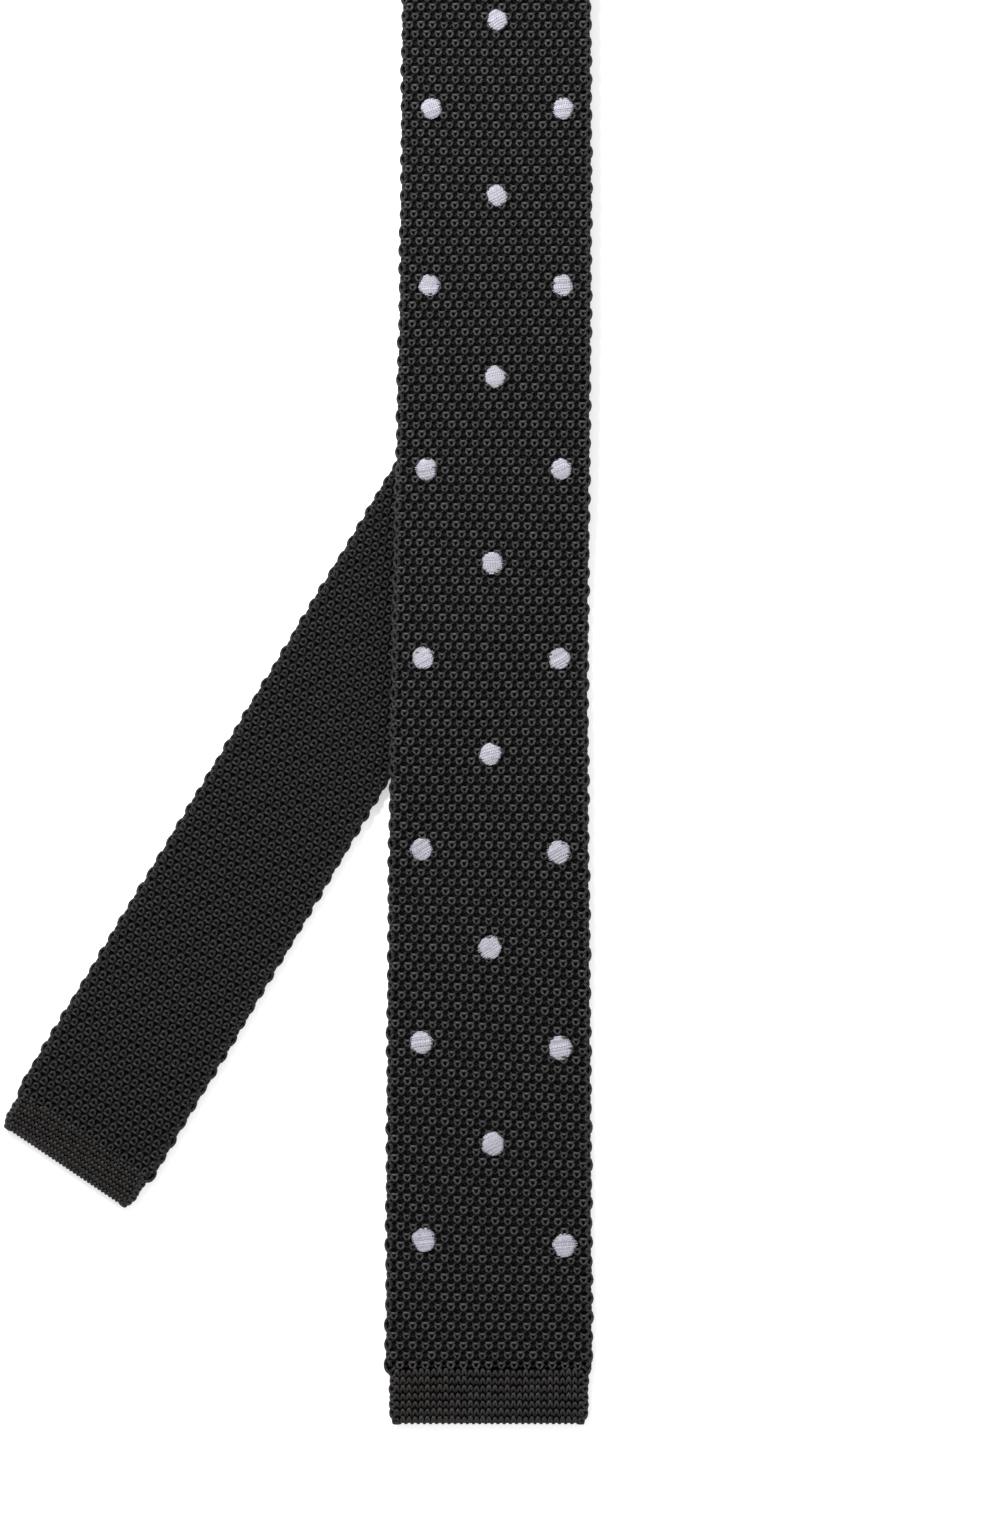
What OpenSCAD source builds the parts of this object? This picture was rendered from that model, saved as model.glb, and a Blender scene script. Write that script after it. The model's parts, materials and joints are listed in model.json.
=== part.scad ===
// Knitted necktie, folded in half at the neck and laid flat on a surface.
// +Y runs from the front tip up to the neck fold, +Z is up, and the origin is
// the middle of the front tip's lower edge, on the surface.
// The front blade lies on top. The tail comes out from under it at its left
// side, face down, and points to the lower left.

/* [Front blade] */
// Width of the front blade just above its hem
front_w = 60.8; // [50:0.2:70]
// Width of the front blade where the taper to the neck begins
front_mid_w = 56; // [48:0.2:62]
// Distance from the front tip at which the taper to the neck begins
taper_start = 420; // [380:5:460]
// Height of the plain hem band of the front blade
front_hem_h = 16.3; // [12:0.1:24]
// Width of the front hem band
front_hem_w = 59; // [48:0.2:68]
// Radius of the corners of both tips
tip_corner_r = 2; // [1:0.25:5]

/* [Neck] */
// Width of the band round the neck
neck_w = 40; // [34:1:46]
// Distance from the front tip to the centre of the neck fold
fold_y = 740; // [700:5:800]
// Radius of the neck fold, at the middle of the cloth's thickness
fold_r = 3.6; // [3.2:0.1:5]
// Length of the stay tape inside the neck band, on each side of the fold
tape_len = 130; // [80:5:140]
// Width of the stay tape
tape_w = 18; // [10:1:26]

/* [Tail] */
// Width of the tail near its tip
tail_w = 48.4; // [40:0.2:54]
// Width of the tail where it passes under the front blade
tail_cross_w = 46.6; // [40:0.2:50]
// Width of the tail's hem band
tail_hem_w = 45.8; // [38:0.2:50]
// Height of the plain hem band of the tail
tail_hem_h = 11.2; // [8:0.1:16]
// Angle between the tail and the front blade
tail_angle = 30.9; // [28:0.1:32]
// How far the tail's tip lies to the left of the front blade's centreline
tail_tip_x = -126.7; // [-130:0.1:-120]
// How far the tail's tip lies above the front tip
tail_tip_y = 76.9; // [74:0.1:80]
// Distance from the tail's tip to the line on which its end folds up
lift_len = 125; // [90:5:140]

/* [Knitted tube] */
// Thickness of the flattened tube, both walls and the space between them
tube_t = 3.4; // [3:0.1:4]
// Thickness of the space inside the tube
slot_t = 0.8; // [0.6:0.1:1.2]
// Cloth at each side edge, beside the space inside the tube
edge_wall = 1.6; // [1.2:0.1:2.4]

/* [Dots] */
// Diameter of an embroidered dot
dot_d = 6.4; // [4:0.2:8]
// Height of an embroidered dot above the cloth
dot_h = 0.9; // [0.5:0.1:1.4]
// Height of the lowest row of dots above the front tip
dot_first_y = 54.4; // [48:0.2:60]
// Distance from the first row of dots to the second
dot_pitch = 29.6; // [27:0.1:31]
// How much closer each next pair of rows comes
dot_shrink = 0.137; // [0.1:0.001:0.16]
// Number of rows of dots
dot_rows = 21; // [5:2:21]
// Distance of the side dots from the centreline, as a share of the half width
dot_side = 0.69; // [0.5:0.01:0.74]

/* [Keeper and label] */
// Length of the keeper loop across the blade
keeper_w = 38; // [30:1:46]
// Height of the keeper loop along the blade
keeper_h = 22; // [14:1:24]
// Distance from the front tip to the keeper loop's lower edge
keeper_y = 146; // [140:1:150]
// Width of the care label
label_w = 26; // [16:1:28]
// Height of the care label
label_h = 24; // [14:1:26]
// Distance from the front tip to the care label's lower edge
label_y = 180; // [176:1:182]

/* [Hidden] */

gap = 0.3;                     // clearance between bodies
knit_color = [0.16, 0.155, 0.16];
hem_color = [0.13, 0.125, 0.125];
dot_color = [0.8, 0.79, 0.86];
thread_color = [0.2, 0.2, 0.22];
tape_color = [0.08, 0.08, 0.09];
label_color = [0.86, 0.85, 0.82];
round_fn = 48;

// The front blade lies on the surface, climbs onto the tail, and climbs
// again to the top of the neck fold.
ramp_y = 112;
ramp_len = 74;
over_tail = tube_t + gap;
lift_start = fold_y - 44;
lift_run = 40;
over_fold = 2 * fold_r - over_tail;

// The neck fold turns about this height. Three hinges share the half turn.
fold_z = tube_t / 2 + fold_r;
hinge_step = 60;
hinge_first = 30;
wedge = 34;                    // relief on the outer side of each hinge
fold_outer = fold_r + tube_t / 2;

// The tail's straight part, its bend under the front blade, and its upper part
tail_dir = [sin(tail_angle), cos(tail_angle)];
upper_x = 4;                   // the tail's centreline just above the bend
to_corner = (upper_x - tail_tip_x) / tail_dir[0];
corner_y = tail_tip_y + to_corner * tail_dir[1];
bend_tangent = 25.3;
bend_r = bend_tangent / tan(tail_angle / 2);
bend_centre = [upper_x - bend_r, corner_y + bend_tangent];
bend_from = to_corner - bend_tangent;
bend_arc = bend_r * tail_angle * PI / 180;
tail_len = bend_from + bend_arc + fold_y - bend_centre[1];
swing_at = bend_centre + bend_r * [cos(tail_angle / 2), -sin(tail_angle / 2)];
swing_r = 30;                  // radius of the round joint between tail and neck

// Stitching and trims
stitch_r = 0.3;
seam_pitch = 1.9;
backing_r = 2.3;
backing_t = 0.25;
tape_t = 0.3;
tack_w = 10;
ribbon_t = 0.6;
label_t = 0.3;
trim_gap = 0.15;               // between a trim and the cloth that it is sewn to
dot_gap = 0.05;                // between a dot's pad and the cloth under it

function mix(a, b, t) = a + (b - a) * t;
function ease(t) = let (c = max(0, min(1, t))) c * c * (3 - 2 * c);

// Half the front blade's width at height y
function front_half(y) = y < taper_start
    ? mix(front_w, front_mid_w, y / taper_start) / 2
    : mix(front_mid_w, neck_w, ease((y - taper_start) / (lift_start - taper_start))) / 2;

// Underside of the front blade at height y
function front_under(y) = over_tail * ease((y - ramp_y) / ramp_len)
    + over_fold * ease((y - lift_start) / lift_run);

// A point of the tail's centreline at distance s from the tail's tip
function tail_point(s) = s < bend_from
    ? [tail_tip_x, tail_tip_y] + s * tail_dir
    : s < bend_from + bend_arc
        ? let (a = (s - bend_from - bend_arc) / bend_r * 180 / PI)
            bend_centre + bend_r * [cos(a), sin(a)]
        : let (y = bend_centre[1] + s - bend_from - bend_arc)
            [upper_x * (1 - ease((y - bend_centre[1]) / (lift_start - bend_centre[1]))), y];

// The sideways direction at the same point
function tail_across(s) = let (a = tail_angle * (1 - max(0, min(1, (s - bend_from) / bend_arc))))
    [cos(a), -sin(a)];

// Half the tail's width at distance s from the tail's tip
function tail_half(s) = s < bend_from
    ? mix(tail_w, tail_cross_w, s / bend_from) / 2
    : mix(tail_cross_w, neck_w, ease((s - bend_from) / (tail_len - 50 - bend_from))) / 2;

// Centre of dot row n, and its half spread
function dot_y(n) = dot_first_y + dot_pitch * n - dot_shrink * n * n;

// A point at angle a round the neck fold, counted from its lowest point
function fold_point(a, r) = [fold_y + r * sin(a), fold_z - r * cos(a)];

// Stations where the front blade's height changes, and where it is level
front_stations = concat(
    [0, 20, 60, 90],
    [for (i = [0:10]) ramp_y + ramp_len * i / 10],
    [220, 300, 380, 460, 540, 620, 670],
    [for (i = [0:8]) lift_start + lift_run * i / 8],
    [fold_y]);

// Plan outline of the front blade between two heights, drawn in by "inset"
module front_plan(y0, y1, inset) {
    ys = concat([y0], [for (y = front_stations) if (y > y0 && y < y1) y], [y1]);
    right = [for (y = ys) [front_half(y) - inset, y]];
    left = [for (i = [len(ys) - 1:-1:0]) [inset - front_half(ys[i]), ys[i]]];
    polygon(concat(right, left));
}

// Side profile of a layer of the front blade, "low" above its underside
module front_layer(y0, y1, low, t) {
    ys = concat([y0], [for (y = front_stations) if (y > y0 && y < y1) y], [y1]);
    under = [for (y = ys) [y, front_under(y) + low]];
    over = [for (i = [len(ys) - 1:-1:0]) [ys[i], front_under(ys[i]) + low + t]];
    polygon(concat(under, over));
}

// Stands a side profile up and gives it a width along X
module across(w) {
    rotate([90, 0, 90])
        linear_extrude(height = w, center = true)
            children();
}

// Side profile of the neck fold between two angles, t thick at its middle.
// Its ends are cut back on the outer side, so that the fold can open flat.
module fold_sector(a0, a1, t, cut_first, cut_last) {
    reach = 3 * fold_outer;
    slack = 1.6;
    first = cut_first ? wedge : 0;
    last = cut_last ? wedge : 0;
    start = a0 + (cut_first ? slack : 0);
    stop = a1 - (cut_last ? slack : 0);
    intersection() {
        translate([fold_y, fold_z])
            difference() {
                circle(r = fold_r + t / 2, $fn = round_fn);
                circle(r = fold_r - t / 2, $fn = round_fn);
            }
        polygon([
            [fold_y, fold_z],
            fold_point(start, fold_r),
            fold_point(start, fold_r) + reach * [sin(start + first), -cos(start + first)],
            fold_point((start + stop) / 2, reach),
            fold_point(stop, fold_r) + reach * [sin(stop - last), -cos(stop - last)],
            fold_point(stop, fold_r)
        ]);
    }
}

// Plan outline of the tail between two stations, drawn in by "inset"
module tail_plan(s0, s1, inset) {
    n = ceil((s1 - s0) / 20);
    ss = [for (i = [0:n]) mix(s0, s1, i / n)];
    right = [for (s = ss) tail_point(s) + (tail_half(s) - inset) * tail_across(s)];
    left = [for (i = [n:-1:0]) tail_point(ss[i]) - (tail_half(ss[i]) - inset) * tail_across(ss[i])];
    polygon(concat(right, left));
}

// A flat hem band with rounded lower corners, from the tip up to height h
module hem_plan(w, h, r) {
    hull() {
        for (side = [-1, 1])
            translate([side * (w / 2 - r), r])
                circle(r = r, $fn = 32);
        translate([-w / 2, h / 2])
            square([w, h / 2]);
    }
}

// Puts what is drawn for a tip at the origin onto the tail's tip
module at_tail_tip() {
    translate([tail_tip_x, tail_tip_y, 0])
        rotate([0, 0, -tail_angle])
            children();
}

// A hem band: the same flattened tube, open along its lower edge
module hem_band(w, h) {
    difference() {
        linear_extrude(height = tube_t)
            hem_plan(w, h, tip_corner_r);
        translate([0, 0, (tube_t - slot_t) / 2])
            linear_extrude(height = slot_t)
                translate([edge_wall - w / 2, -1])
                    square([w - 2 * edge_wall, h + 2]);
    }
}

// The thread that links the two walls along a tip's lower edge
module tip_seam(w) {
    inner_w = w - 2 * edge_wall - 2;
    count = floor(inner_w / seam_pitch);
    for (i = [0:count - 1])
        translate([(i - (count - 1) / 2) * seam_pitch, 0.9, tube_t / 2])
            rotate([0, 90, 24])
                cylinder(r = stitch_r, h = seam_pitch * 0.9, center = true, $fn = 16);
}

// Calls its children once for each dot, at the dot's centre in plan
module each_dot() {
    for (n = [0:dot_rows - 1]) {
        y = dot_y(n);
        spread = n % 2 == 0 ? [-1, 1] : [0];
        for (side = spread)
            translate([side * dot_side * front_half(y), y, 0]) {
                $under = front_under(y);
                $rise = front_under(y + dot_d / 2) - $under;
                children();
            }
    }
}

module front_blade_tube() {
    last = hinge_first + 2 * hinge_step;
    color(knit_color)
        difference() {
            intersection() {
                linear_extrude(height = 30)
                    front_plan(front_hem_h, fold_y + 20, 0);
                across(front_w + 10) {
                    front_layer(front_hem_h, fold_y, 0, tube_t);
                    fold_sector(last, 180, tube_t, true, false);
                }
            }
            intersection() {
                linear_extrude(height = 30)
                    front_plan(front_hem_h - 1, fold_y + 20, edge_wall);
                across(front_w + 10) {
                    front_layer(front_hem_h - 1, fold_y, (tube_t - slot_t) / 2, slot_t);
                    fold_sector(last - 6, 180, slot_t, false, false);
                }
            }
        }
}

module front_hem_band() {
    color(hem_color)
        hem_band(front_hem_w, front_hem_h);
}

module front_tip_seam() {
    color(thread_color)
        tip_seam(front_hem_w);
}

// A dot is a pad of satin stitches with a domed top
module embroidered_dots() {
    flat_r = dot_d / 2 - 1;
    color(dot_color)
        each_dot()
            translate([0, 0, $under + $rise + tube_t + dot_gap])
                rotate_extrude($fn = round_fn)
                    union() {
                        square([flat_r, dot_h]);
                        translate([flat_r, 0])
                            intersection() {
                                translate([0, dot_h - 1])
                                    circle(r = 1, $fn = 32);
                                square([1, dot_h]);
                            }
                    }
}

// The bobbin side of each dot, inside the tube
module dot_backing_threads() {
    color(thread_color)
        each_dot()
            translate([0, 0, $under + (tube_t - backing_t) / 2])
                cylinder(r = backing_r, h = backing_t, $fn = round_fn);
}

module keeper_loop() {
    color(tape_color)
        intersection() {
            across(keeper_w)
                front_layer(keeper_y, keeper_y + keeper_h, -ribbon_t - trim_gap, ribbon_t);
            linear_extrude(height = 30)
                translate([-keeper_w / 2, keeper_y])
                    square([keeper_w, keeper_h]);
        }
}

// A tack at each end of the keeper, under the ribbon's turned-in end
module keeper_bar_tacks() {
    tack_t = 0.1;
    tack_w = 2;
    color(thread_color)
        for (side = [-1, 1])
            translate([side * (keeper_w / 2 - tack_w), 0, 0])
                across(tack_w)
                    front_layer(keeper_y + 1, keeper_y + keeper_h - 1, -tack_t - 0.02, tack_t);
}

module care_label() {
    color(label_color)
        across(label_w)
            front_layer(label_y, label_y + label_h, -label_t - trim_gap, label_t);
}

// A row of stitches along the label's upper edge holds it to the blade
module care_label_stitches() {
    count = 9;
    pitch = label_w / (count + 1);
    stitch_t = 0.1;
    y = label_y + label_h - 2;
    color(thread_color)
        for (i = [1:count])
            translate([i * pitch - label_w / 2, 0, 0])
                across(pitch * 0.6)
                    front_layer(y, y + 0.8, -stitch_t - 0.02, stitch_t);
}

// The stay tape runs inside the neck band, at the middle of its thickness
module front_stay_tape() {
    low = (tube_t - tape_t) / 2;
    color(tape_color)
        across(tape_w) {
            front_layer(fold_y - tape_len, fold_y, low, tape_t);
            fold_sector(hinge_first + 2 * hinge_step, 180, tape_t, true, false);
        }
}

module front_tape_tack() {
    y = fold_y - tape_len - 2;
    color(thread_color)
        across(tack_w)
            front_layer(y, y + 1.6, (tube_t - tape_t) / 2, tape_t);
}

module neck_fold(step) {
    a0 = hinge_first + step * hinge_step;
    color(knit_color)
        difference() {
            across(neck_w)
                fold_sector(a0, a0 + hinge_step, tube_t, true, true);
            across(neck_w - 2 * edge_wall)
                fold_sector(a0 - 8, a0 + hinge_step + 8, slot_t, false, false);
        }
}

module fold_tape(step) {
    a0 = hinge_first + step * hinge_step;
    color(tape_color)
        across(tape_w)
            fold_sector(a0, a0 + hinge_step, tape_t, true, true);
}

module neck_fold_lower() {
    neck_fold(0);
}

module neck_fold_upper() {
    neck_fold(1);
}

module fold_lower_tape() {
    fold_tape(0);
}

module fold_upper_tape() {
    fold_tape(1);
}

// From the neck fold down to the round joint in the bend
module tail_upper_tube() {
    from = bend_from - 30;
    color(knit_color)
        difference() {
            union() {
                linear_extrude(height = tube_t)
                    intersection() {
                        tail_plan(from, tail_len, 0);
                        union() {
                            translate(swing_at)
                                circle(r = swing_r, $fn = 96);
                            translate([upper_x - 50, swing_at[1]])
                                square([100, fold_y - swing_at[1]]);
                        }
                    }
                across(neck_w)
                    fold_sector(0, hinge_first, tube_t, false, true);
            }
            translate([0, 0, (tube_t - slot_t) / 2])
                linear_extrude(height = slot_t)
                    tail_plan(from, tail_len + 0.01, edge_wall);
            across(neck_w - 2 * edge_wall)
                fold_sector(-0.01, hinge_first + 6, slot_t, false, false);
        }
}

module tail_stay_tape() {
    color(tape_color)
        across(tape_w) {
            translate([fold_y - tape_len, (tube_t - tape_t) / 2])
                square([tape_len, tape_t]);
            fold_sector(0, hinge_first, tape_t, false, true);
        }
}

module tail_tape_tack() {
    color(thread_color)
        across(tack_w)
            translate([fold_y - tape_len - 2, (tube_t - tape_t) / 2])
                square([1.6, tape_t]);
}

module tail_blade_tube() {
    color(knit_color)
        difference() {
            linear_extrude(height = tube_t)
                difference() {
                    tail_plan(lift_len + gap / 2, bend_from + bend_arc / 2, 0);
                    translate(swing_at)
                        circle(r = swing_r + gap, $fn = 96);
                }
            translate([0, 0, (tube_t - slot_t) / 2])
                linear_extrude(height = slot_t)
                    tail_plan(lift_len - 1, bend_from + bend_arc / 2 + 1, edge_wall);
        }
}

module tail_end_tube() {
    color(knit_color)
        difference() {
            linear_extrude(height = tube_t)
                tail_plan(tail_hem_h, lift_len - gap / 2, 0);
            translate([0, 0, (tube_t - slot_t) / 2])
                linear_extrude(height = slot_t)
                    tail_plan(tail_hem_h - 1, lift_len + 1, edge_wall);
        }
}

module tail_hem_band() {
    color(hem_color)
        at_tail_tip()
            hem_band(tail_hem_w, tail_hem_h);
}

module tail_tip_seam() {
    color(thread_color)
        at_tail_tip()
            tip_seam(tail_hem_w);
}

front_blade_tube();
front_hem_band();
front_tip_seam();
embroidered_dots();
dot_backing_threads();
keeper_loop();
keeper_bar_tacks();
care_label();
care_label_stitches();
front_stay_tape();
front_tape_tack();
neck_fold_upper();
fold_upper_tape();
neck_fold_lower();
fold_lower_tape();
tail_upper_tube();
tail_stay_tape();
tail_tape_tack();
tail_blade_tube();
tail_end_tube();
tail_hem_band();
tail_tip_seam();
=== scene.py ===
"""Knitted necktie, folded in half at the neck and laid flat: the visual model.

Everything is in metres, in the frame of the CAD model: the front blade points
along -Y from the neck fold to its tip at the origin, and +Z is up.

One coordinate g runs along the whole tie, from the front tip over the neck
fold to the tail's tip. place() turns (x across, g along, h above the middle of
the cloth, towards its face side) into a point, and every knitted course,
seam and trim is laid out with it.
"""
import json
import math
import bpy
import numpy as np
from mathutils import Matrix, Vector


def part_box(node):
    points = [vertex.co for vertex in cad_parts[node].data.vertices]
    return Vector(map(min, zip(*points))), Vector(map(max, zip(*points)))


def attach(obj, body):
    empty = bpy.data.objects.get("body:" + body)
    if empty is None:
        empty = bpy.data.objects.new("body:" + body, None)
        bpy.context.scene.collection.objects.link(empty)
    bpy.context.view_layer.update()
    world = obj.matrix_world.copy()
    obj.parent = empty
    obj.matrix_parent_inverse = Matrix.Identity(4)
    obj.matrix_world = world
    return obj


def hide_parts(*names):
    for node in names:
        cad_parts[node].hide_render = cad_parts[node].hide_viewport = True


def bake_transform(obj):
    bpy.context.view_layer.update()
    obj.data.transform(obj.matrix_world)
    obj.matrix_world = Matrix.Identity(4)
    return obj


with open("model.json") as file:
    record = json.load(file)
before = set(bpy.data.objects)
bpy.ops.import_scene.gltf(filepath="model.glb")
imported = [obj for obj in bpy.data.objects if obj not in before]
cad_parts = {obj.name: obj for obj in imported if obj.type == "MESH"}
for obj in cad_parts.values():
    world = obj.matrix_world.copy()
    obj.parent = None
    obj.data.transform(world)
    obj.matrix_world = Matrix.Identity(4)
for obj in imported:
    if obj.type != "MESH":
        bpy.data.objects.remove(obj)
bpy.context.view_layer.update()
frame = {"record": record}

MM = 0.001
TAU = 2 * math.pi


# ---------------------------------------------------------------- the frame
def corners(node):
    low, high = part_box(node)
    return np.array(low), np.array(high)


def joint_at(name):
    joint = next(j for j in frame["record"]["behaviour"]["joints"] if j["name"] == name)
    return np.array(joint["pos_m"]), np.array(joint["axis"])


def node_points(node):
    mesh = bpy.data.objects[node].data
    co = np.empty(len(mesh.vertices) * 3)
    mesh.vertices.foreach_get("co", co)
    return co.reshape(-1, 3)


TUBE_T = corners("front_hem_band")[1][2]
HEM_TOP = corners("front_hem_band")[1][1]
HEM_HALF = corners("front_hem_band")[1][0]

# The three neck hinges lie at 30, 90 and 150 degrees round the fold.
first, second = joint_at("neck_fold_first")[0], joint_at("neck_fold_second")[0]
FOLD_R = 2 * (second[1] - first[1])
FOLD_Y = second[1] - FOLD_R
FOLD_Z = second[2]
FOLD_LEN = math.pi * FOLD_R

# The tail's direction and its tip, from its own joint and hem
LIFT_AT, lift_axis = joint_at("tail_lift")
TAIL_ANGLE = math.atan2(lift_axis[1], -lift_axis[0])
TAIL_DIR = np.array([math.sin(TAIL_ANGLE), math.cos(TAIL_ANGLE)])
LIFT_S = float((LIFT_AT[:2] @ TAIL_DIR) - (node_points("tail_hem_band")[:, :2] @ TAIL_DIR).min())
TAIL_TIP = LIFT_AT[:2] - LIFT_S * TAIL_DIR
TAIL_HEM = 11.2 * MM
TAIL_HEM_HALF = 22.9 * MM

# Widths along the tie, as in the CAD model
FRONT_HALF = 30.4 * MM
FRONT_MID_HALF = 28 * MM
TAPER_Y = 420 * MM
NECK_HALF = corners("neck_fold_lower")[1][0]
LIFT_START = FOLD_Y - 44 * MM
LIFT_RUN = 40 * MM
TAIL_HALF = 24.2 * MM
TAIL_CROSS_HALF = 23.3 * MM

# The tail's bend under the front blade
UPPER_X = 4 * MM
BEND_TANGENT = 25.3 * MM
TO_CORNER = (UPPER_X - TAIL_TIP[0]) / TAIL_DIR[0]
CORNER_Y = TAIL_TIP[1] + TO_CORNER * TAIL_DIR[1]
BEND_R = BEND_TANGENT / math.tan(TAIL_ANGLE / 2)
BEND_CENTRE = np.array([UPPER_X - BEND_R, CORNER_Y + BEND_TANGENT])
BEND_FROM = TO_CORNER - BEND_TANGENT
BEND_TO = BEND_FROM + BEND_R * TAIL_ANGLE
TAIL_LEN = BEND_TO + FOLD_Y - BEND_CENTRE[1]
TAIL_G = FOLD_Y + FOLD_LEN
TIP_G = TAIL_G + TAIL_LEN
TIP_SKEW = 0.05                         # the tail's hem runs this much off square

# How the front blade lies over the tail
OVER_TAIL = TUBE_T + 0.3 * MM
OVER_FOLD = 2 * FOLD_R - OVER_TAIL
DRAPE_RUN = 30 * MM
KEEPER_LIFT = 1.1 * MM
KEEPER_FROM, KEEPER_TO = 118, 228       # where the keeper and label lift it, mm from the tip
KEEPER_RUN = 24                         # and over how many mm it rises and falls


# ------------------------------------------------------------- the tie's shape
def ease(t):
    t = np.clip(t, 0, 1)
    return t * t * (3 - 2 * t)


def mix(a, b, t):
    return a + (b - a) * t


def drift(y):
    """How far the front blade's middle lies to the right of the centreline."""
    return (-1.8 + 2.2 * ease((y / MM - 170) / 220) - 0.4 * ease((y / MM - 440) / 160)) * MM


def wander(x, y, size, seed):
    """A slow, smooth wander from -1 to 1, size metres from bump to bump."""
    a = np.sin(TAU * (x * 0.71 + y * 0.64) / size + 1.7 * seed)
    b = np.sin(TAU * (x * -0.83 + y * 0.37) / (0.77 * size) + 2.9 * seed)
    c = np.sin(TAU * (x * 0.22 + y * 1.13) / (1.31 * size) + 4.3 * seed)
    return (a + b + c) / 3


def front_height(x, y):
    """Height of the middle of the front blade's cloth."""
    p_x, p_y = x - TAIL_TIP[0], y - TAIL_TIP[1]
    below = p_x * TAIL_DIR[1] - p_y * TAIL_DIR[0] - TAIL_CROSS_HALF
    beside = x - UPPER_X - TAIL_CROSS_HALF
    soft = 6 * MM
    outside = (below + beside + np.sqrt((below - beside) ** 2 + soft**2)) / 2
    on_tail = OVER_TAIL * ease(1 - outside / DRAPE_RUN)
    rise = ease((y / MM - KEEPER_FROM) / KEEPER_RUN)
    on_keeper = KEEPER_LIFT * rise * ease((KEEPER_TO - y / MM) / KEEPER_RUN)
    up = np.maximum(on_tail, on_keeper) + OVER_FOLD * ease((y - LIFT_START) / LIFT_RUN)
    waves = 0.25 * MM * (1 + wander(x, y, 90 * MM, 3)) * ease((y / MM - 30) / 60)
    return TUBE_T / 2 + up + waves * ease((LIFT_START - y) / (60 * MM))


def tail_centre(s):
    """Centreline of the tail, s from its tip, and its direction across."""
    turn = np.clip((s - BEND_FROM) / (BEND_TO - BEND_FROM), 0, 1)
    angle = TAIL_ANGLE * (1 - turn)
    straight = np.minimum(s, BEND_FROM)
    above = np.maximum(s - BEND_TO, 0)
    x = TAIL_TIP[0] + straight * TAIL_DIR[0]
    y = TAIL_TIP[1] + straight * TAIL_DIR[1]
    x = np.where(s > BEND_FROM, BEND_CENTRE[0] + BEND_R * np.cos(angle), x)
    y = np.where(s > BEND_FROM, BEND_CENTRE[1] - BEND_R * np.sin(angle) + above, y)
    x = x - UPPER_X * ease(above / (LIFT_START - BEND_CENTRE[1])) * (s > BEND_TO)
    return x, y, np.cos(angle), -np.sin(angle)


def slant(x, y):
    """How far the front's courses run off level: they tilt and sag near the tip."""
    slope = -0.04 * ease((y / MM - 18) / 40) * ease((245 - y / MM) / 130)
    sag = -0.8 * MM * ease((y / MM - 18) / 60) * ease((290 - y / MM) / 120)
    return x * slope + sag


def place(x, g, h):
    """The point x across, g along and h above the middle of the cloth."""
    x, g, h = np.broadcast_arrays(x, g, h)
    x = x.astype(float)
    y = np.minimum(g, FOLD_Y)
    px = x + drift(y)
    step = 0.5 * MM
    z = front_height(px, y)
    slope_x = (front_height(px + step, y) - z) / step
    slope_y = (front_height(px, y + step) - z) / step
    size = np.sqrt(slope_x**2 + slope_y**2 + 1)
    front = np.stack([px - h * slope_x / size, y - h * slope_y / size, z + h / size], -1)

    around = math.pi - np.clip((g - FOLD_Y) / FOLD_R, 0, math.pi)
    r = FOLD_R + h
    fold = np.stack([x, FOLD_Y + r * np.sin(around), FOLD_Z - r * np.cos(around)], -1)

    s = TIP_G - np.maximum(g, TAIL_G)
    s = s - TIP_SKEW * (x + TAIL_HALF) * ease((60 * MM - s) / (50 * MM))
    cx, cy, ax, ay = tail_centre(s)
    tail = np.stack([cx + x * ax, cy + x * ay, TUBE_T / 2 - h], -1)
    g = g[..., None]
    return np.where(g < FOLD_Y, front, np.where(g < TAIL_G, fold, tail))


def half_width(g):
    """Half the tie's width at g."""
    y = np.minimum(g, FOLD_Y)
    low = mix(FRONT_HALF, FRONT_MID_HALF, y / TAPER_Y)
    high = mix(FRONT_MID_HALF, NECK_HALF, ease((y - TAPER_Y) / (LIFT_START - TAPER_Y)))
    front = np.where(y < TAPER_Y, low, high) + 0.5 * MM * ease((260 - y / MM) / 160)
    s = TIP_G - np.maximum(g, TAIL_G)
    low = mix(TAIL_HALF, TAIL_CROSS_HALF, s / BEND_FROM)
    run = TAIL_LEN - 50 * MM - BEND_FROM
    high = mix(TAIL_CROSS_HALF, NECK_HALF, ease((s - BEND_FROM) / run))
    tail = np.where(s < BEND_FROM, low, high)
    return np.where(g < TAIL_G, front, tail)


# ------------------------------------------------------------- mesh building
def make_mesh(name, points, quads, material, uvs):
    """A smooth mesh object from arrays of points, quads and UV layers."""
    mesh = bpy.data.meshes.new(name)
    mesh.vertices.add(len(points))
    mesh.vertices.foreach_set("co", np.ascontiguousarray(points, np.float32).ravel())
    mesh.loops.add(quads.size)
    mesh.loops.foreach_set("vertex_index", quads.astype(np.int32).ravel())
    mesh.polygons.add(len(quads))
    mesh.polygons.foreach_set("loop_start", np.arange(0, quads.size, 4, dtype=np.int32))
    mesh.polygons.foreach_set("loop_total", np.full(len(quads), 4, np.int32))
    mesh.polygons.foreach_set("use_smooth", np.full(len(quads), True))
    for layer, uv in uvs.items():
        mesh.uv_layers.new(name=layer)
        mesh.uv_layers[layer].data.foreach_set("uv", uv.astype(np.float32).ravel())
    mesh.update(calc_edges=True)
    mesh.validate()
    mesh.materials.append(material)
    piece = bpy.data.objects.new(name, mesh)
    bpy.context.scene.collection.objects.link(piece)
    return piece


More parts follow.
